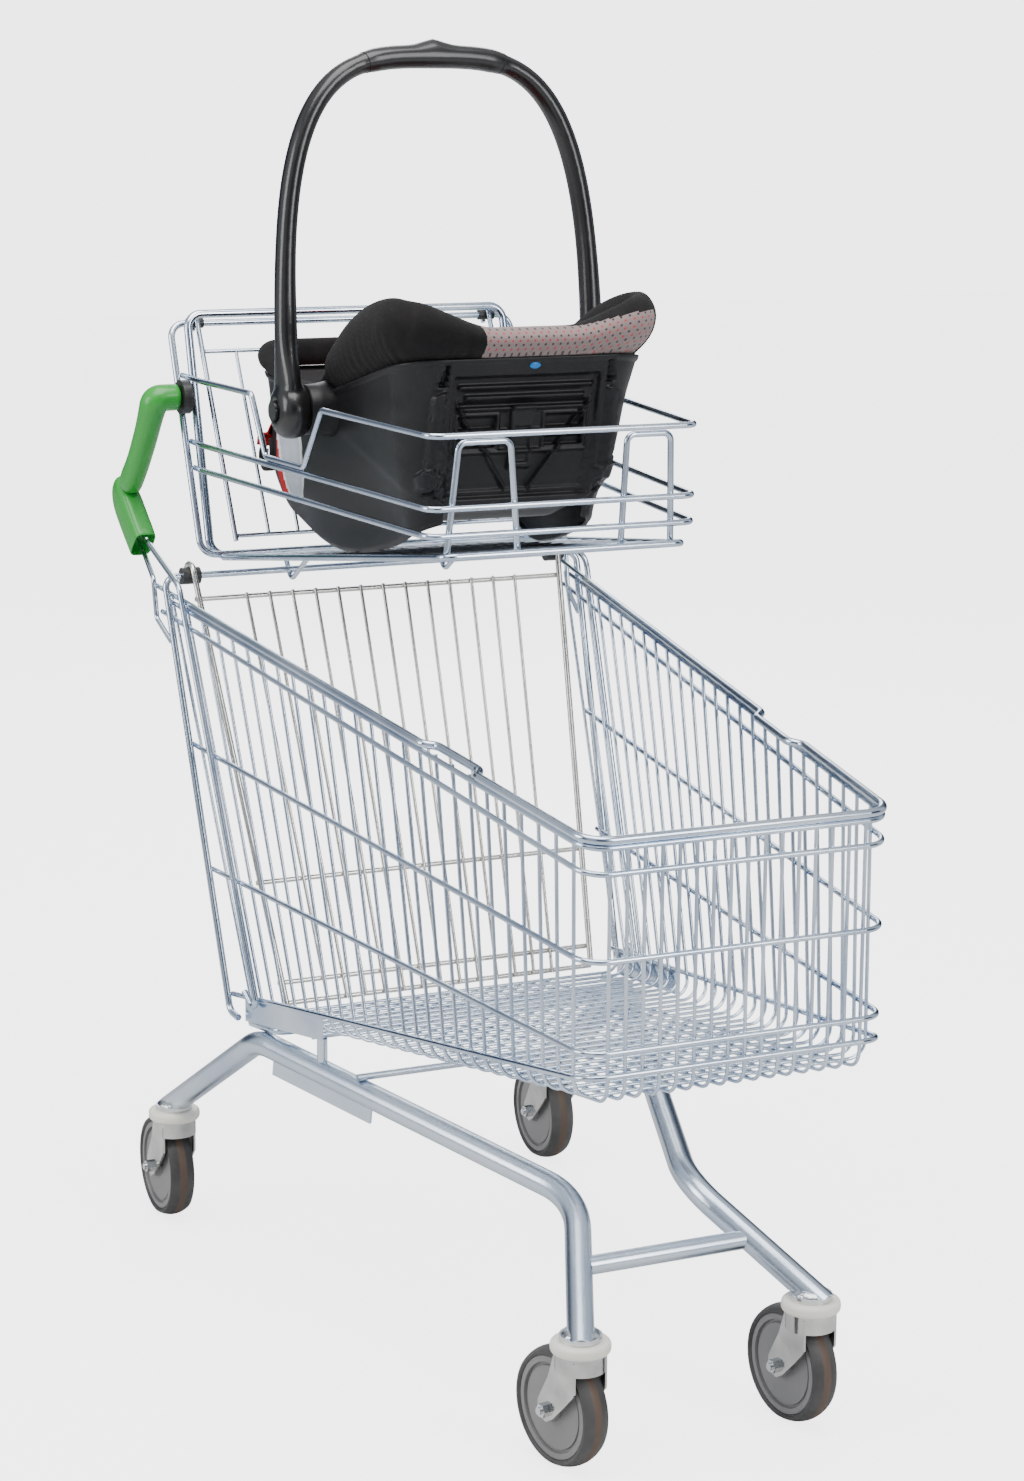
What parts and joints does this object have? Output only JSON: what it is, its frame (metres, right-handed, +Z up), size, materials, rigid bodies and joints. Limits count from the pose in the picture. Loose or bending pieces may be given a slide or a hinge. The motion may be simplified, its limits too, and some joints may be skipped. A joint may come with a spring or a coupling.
{
  "type": "shopping cart with infant carrier cradle",
  "caption": "Wire basket cart on swivel castors with a hinged rear gate, two push grips and a raised wire cradle that holds an infant carrier with a folding handle.",
  "frame": {"origin": "middle of the whole cart's outline on the floor, with the castors as they stand", "axes": "+X forward to the nose of the basket, +Y to the pusher's left, +Z up"},
  "size_m": [1.0678, 0.5758, 1.4085],
  "materials": {
    "zinc_wire": "bright zinc",
    "zinc_tube": "bright zinc",
    "fork_zinc": "satin zinc",
    "bolt_steel": "zinc",
    "grip_green": "satin",
    "black_plastic": "satin",
    "cream_plastic": "satin",
    "wheel_plastic": "satin",
    "tyre": "satin",
    "shell_plastic": "grained",
    "cover_fabric": "woven",
    "liner_fabric": "woven",
    "handle_plastic": "gloss"
  },
  "bodies": {
    "cart": {"chassis_tube_right": "zinc_tube", "chassis_tube_left": "zinc_tube", "chassis_crossbars": "zinc_tube", "guide_strips": "zinc_wire", "basket_support_rods": "zinc_wire", "corner_brackets": "zinc_wire", "castor_flanges": "bolt_steel", "castor_kingpins": "bolt_steel", "thread_guards": "cream_plastic", "rim_rod": "zinc_wire", "rim_under_wire": "zinc_wire", "side_wires_right": "zinc_wire", "side_wires_left": "zinc_wire", "front_wires": "zinc_wire", "floor_cross_wires": "zinc_wire", "floor_long_wires": "zinc_wire", "rear_frame_rod": "zinc_wire", "grip_posts": "zinc_wire", "gate_bushes": "black_plastic", "basket_hoops": "zinc_wire", "rear_brace_wires": "zinc_wire", "tower_inner_loop": "zinc_wire", "tower_outer_loop": "zinc_wire", "cradle_bed_frame": "zinc_wire", "cradle_bed_wires": "zinc_wire", "cradle_hooks": "zinc_wire", "cradle_front_hoops": "zinc_wire", "flap_bushes": "black_plastic", "push_grip_right": "grip_green", "push_grip_left": "grip_green", "grip_flanges": "black_plastic", "cradle_rails": "zinc_wire"},
    "rear_gate": {"gate_side_rods": "zinc_wire", "gate_bars": "zinc_wire", "gate_wires": "zinc_wire"},
    "cradle_flap": {"flap_side_rods": "zinc_wire", "flap_bars": "zinc_wire", "flap_wires": "zinc_wire"},
    "infant_carrier": {"seat_shell": "shell_plastic", "seat_cover": "cover_fabric", "seat_liner": "liner_fabric"},
    "carry_handle": {"carry_handle": "handle_plastic"},
    "handle_button_right": {"handle_button_right": "handle_plastic"},
    "handle_button_left": {"handle_button_left": "handle_plastic"},
    "castor_fr": {"fork_fr": "fork_zinc", "axle_fr": "bolt_steel"},
    "wheel_fr": {"wheel_disc_fr": "wheel_plastic", "tyre_fr": "tyre"},
    "castor_fl": {"fork_fl": "fork_zinc", "axle_fl": "bolt_steel"},
    "wheel_fl": {"wheel_disc_fl": "wheel_plastic", "tyre_fl": "tyre"},
    "castor_rr": {"fork_rr": "fork_zinc", "axle_rr": "bolt_steel"},
    "wheel_rr": {"wheel_disc_rr": "wheel_plastic", "tyre_rr": "tyre"},
    "castor_rl": {"fork_rl": "fork_zinc", "axle_rl": "bolt_steel"},
    "wheel_rl": {"wheel_disc_rl": "wheel_plastic", "tyre_rl": "tyre"}
  },
  "joints": [
    {"name": "castor_fr_swivel", "type": "hinge", "parent": "cart", "child": "castor_fr", "pos_m": [0.45839, -0.133, 0.149], "axis": [0, 0, 1], "continuous": true},
    {"name": "wheel_fr_spin", "type": "hinge", "parent": "castor_fr", "child": "wheel_fr", "pos_m": [0.42889, -0.13847, 0.0625], "axis": [-0.1822, 0.9833, 0], "continuous": true},
    {"name": "castor_fl_swivel", "type": "hinge", "parent": "cart", "child": "castor_fl", "pos_m": [0.45839, 0.133, 0.149], "axis": [0, 0, 1], "continuous": true},
    {"name": "wheel_fl_spin", "type": "hinge", "parent": "castor_fl", "child": "wheel_fl", "pos_m": [0.42858, 0.1296, 0.0625], "axis": [-0.1132, 0.9936, 0], "continuous": true},
    {"name": "castor_rr_swivel", "type": "hinge", "parent": "cart", "child": "castor_rr", "pos_m": [-0.39661, -0.257, 0.149], "axis": [0, 0, 1], "continuous": true},
    {"name": "wheel_rr_spin", "type": "hinge", "parent": "castor_rr", "child": "wheel_rr", "pos_m": [-0.42661, -0.257, 0.0625], "axis": [0, 1, 0], "continuous": true},
    {"name": "castor_rl_swivel", "type": "hinge", "parent": "cart", "child": "castor_rl", "pos_m": [-0.39661, 0.257, 0.149], "axis": [0, 0, 1], "continuous": true},
    {"name": "wheel_rl_spin", "type": "hinge", "parent": "castor_rl", "child": "wheel_rl", "pos_m": [-0.42661, 0.257, 0.0625], "axis": [0, 1, 0], "continuous": true},
    {"name": "rear_gate_hinge", "type": "hinge", "parent": "cart", "child": "rear_gate", "pos_m": [-0.37161, 0, 0.799], "axis": [0, -1, 0], "range_deg": [0, 45]},
    {"name": "cradle_flap_hinge", "type": "hinge", "parent": "cart", "child": "cradle_flap", "pos_m": [-0.47261, 0, 1.084], "axis": [0, -1, 0], "range_deg": [0, 3]},
    {"name": "carrier_lift_off", "type": "slide", "parent": "cart", "child": "infant_carrier", "axis": [0, 0, 1], "range_m": [0, 0.3]},
    {"name": "carry_handle_pivot", "type": "hinge", "parent": "infant_carrier", "child": "carry_handle", "pos_m": [-0.17361, 0, 1.01], "axis": [0, 1, 0], "range_deg": [-50, 60]},
    {"name": "handle_button_right_press", "type": "slide", "parent": "carry_handle", "child": "handle_button_right", "axis": [0, 1, 0], "range_m": [0, 0.004], "stiffness_N_per_m": 500},
    {"name": "handle_button_left_press", "type": "slide", "parent": "carry_handle", "child": "handle_button_left", "axis": [0, -1, 0], "range_m": [0, 0.004], "stiffness_N_per_m": 500}
  ]
}
